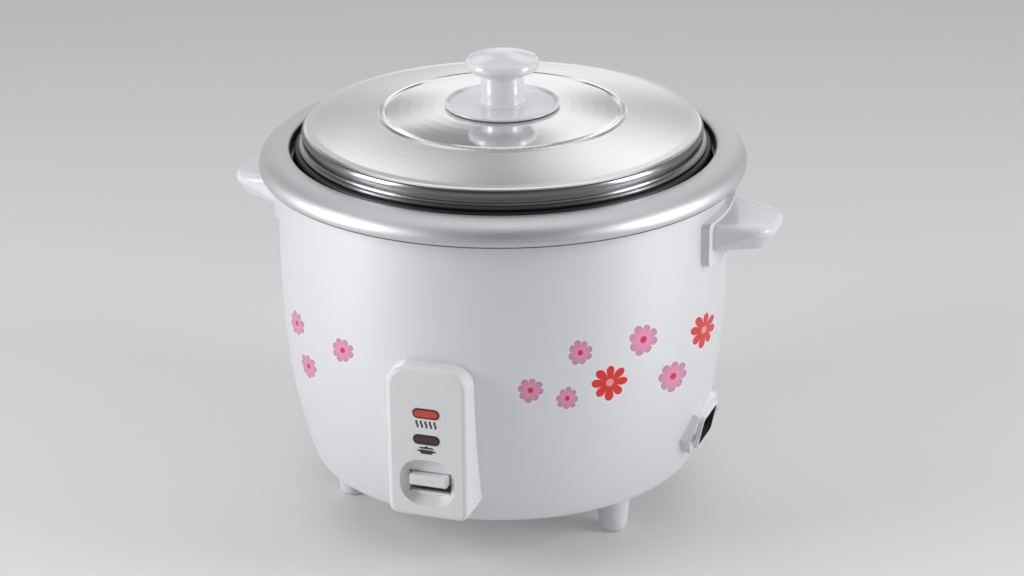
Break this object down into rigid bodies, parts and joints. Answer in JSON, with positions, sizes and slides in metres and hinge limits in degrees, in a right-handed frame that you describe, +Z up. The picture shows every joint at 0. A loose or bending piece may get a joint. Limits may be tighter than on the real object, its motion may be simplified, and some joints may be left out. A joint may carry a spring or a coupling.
{
  "type": "rice cooker",
  "caption": "Drum rice cooker with lift-off lid and inner pan, satin top ring, side handles, front panel with lenses and press-down cook key, mains inlet and feet.",
  "frame": {"origin": "on the floor under the drum's axis", "axes": "+Z up along the drum's axis, -Y towards the control panel, +X towards the mains inlet"},
  "size_m": [0.315, 0.27, 0.258],
  "materials": {
    "enamel": "glossy white enamel",
    "rim_metal": "satin silver",
    "casing_metal": "drawn aluminium, plain",
    "plated_steel": "zinc plated",
    "white_plastic": "glossy moulded",
    "amber_lens": "translucent orange",
    "dark_lens": "translucent dark maroon",
    "lamp_glass": "clear",
    "pan_metal": "hard anodised, dark",
    "lid_steel": "mirror dome, satin shoulder",
    "cast_aluminium": "cast, turned top",
    "sensor_aluminium": "drawn, plain",
    "element_steel": "dark oxide",
    "bakelite": "moulded, dark brown",
    "ceramic": "glazed sleeve",
    "ferrite": "sintered, dark",
    "spring_steel": "plain",
    "red_plastic": "moulded",
    "brass": "plain",
    "brown_sleeve": "brown insulation",
    "blue_sleeve": "blue insulation",
    "green_sleeve": "green insulation",
    "grey_sleeve": "grey insulation"
  },
  "bodies": {
    "casing": {"outer_shell": "enamel", "top_rim": "rim_metal", "inner_casing": "casing_metal", "base_plate": "plated_steel", "base_screws": "plated_steel", "foot_left": "white_plastic", "foot_right": "white_plastic", "foot_rear": "white_plastic", "foot_screws": "plated_steel", "left_handle": "white_plastic", "right_handle": "white_plastic", "handle_screws": "plated_steel", "control_panel": "white_plastic", "panel_screws": "plated_steel", "warm_lens": "amber_lens", "cook_lens": "dark_lens", "warm_lamp": "lamp_glass", "cook_lamp": "lamp_glass", "heating_plate": "cast_aluminium", "heating_element": "element_steel", "plate_spacers": "plated_steel", "plate_screws": "plated_steel", "warm_thermostat": "bakelite", "thermal_fuse": "ceramic", "fuse_clip": "plated_steel", "sensor_holder": "plated_steel", "holder_screws": "plated_steel", "switch_bracket": "plated_steel", "bracket_screws": "plated_steel", "lever_pin": "plated_steel", "contact_block": "bakelite", "contact_screws": "plated_steel", "inlet_socket": "white_plastic", "inlet_pins": "brass", "inlet_screws": "plated_steel", "earth_screw": "brass", "live_wire": "brown_sleeve", "neutral_wire": "blue_sleeve", "switch_wire": "brown_sleeve", "fuse_wire": "brown_sleeve", "thermostat_wires": "brown_sleeve", "earth_wire": "green_sleeve", "lamp_wires": "grey_sleeve"},
    "pan": {"inner_pan": "pan_metal"},
    "lid": {"lid": "lid_steel", "knob_disc": "white_plastic", "knob": "white_plastic", "knob_screw": "plated_steel"},
    "sensor": {"sensor_cap": "sensor_aluminium", "sensor_magnet": "ferrite", "sensor_spring": "spring_steel"},
    "rod": {"magnet_rod": "element_steel"},
    "lever": {"switch_lever": "bakelite", "cook_key": "white_plastic", "return_spring": "spring_steel"},
    "plunger": {"contact_plunger": "red_plastic"}
  },
  "joints": [
    {"name": "cook_lever", "type": "hinge", "parent": "casing", "child": "lever", "pos_m": [0, -0.07, 0.0556], "axis": [1, 0, 0], "range_deg": [0, 4.2], "stiffness_Nm_per_rad": 0.2, "springref_deg": -8.59, "deforming": ["return_spring"]},
    {"name": "rod_lift", "type": "slide", "parent": "casing", "child": "rod", "axis": [0, 0, 1], "range_m": [0, 0.0052]},
    {"name": "plunger_press", "type": "slide", "parent": "casing", "child": "plunger", "axis": [0, 0, -1], "range_m": [0, 0.0017]},
    {"name": "sensor_press", "type": "slide", "parent": "casing", "child": "sensor", "axis": [0, 0, 1], "range_m": [-0.002, 0], "stiffness_N_per_m": 1000, "springref_m": 0.003, "deforming": ["sensor_spring"]},
    {"name": "pan_lift", "type": "slide", "parent": "casing", "child": "pan", "axis": [0, 0, 1], "range_m": [0, 0.16]},
    {"name": "lid_lift", "type": "slide", "parent": "pan", "child": "lid", "axis": [0, 0, 1], "range_m": [0, 0.12]}
  ],
  "couplings": [
    {"joint": "rod_lift", "follows": "cook_lever", "m_per_rad": 0.07},
    {"joint": "plunger_press", "follows": "cook_lever", "m_per_rad": 0.022}
  ]
}
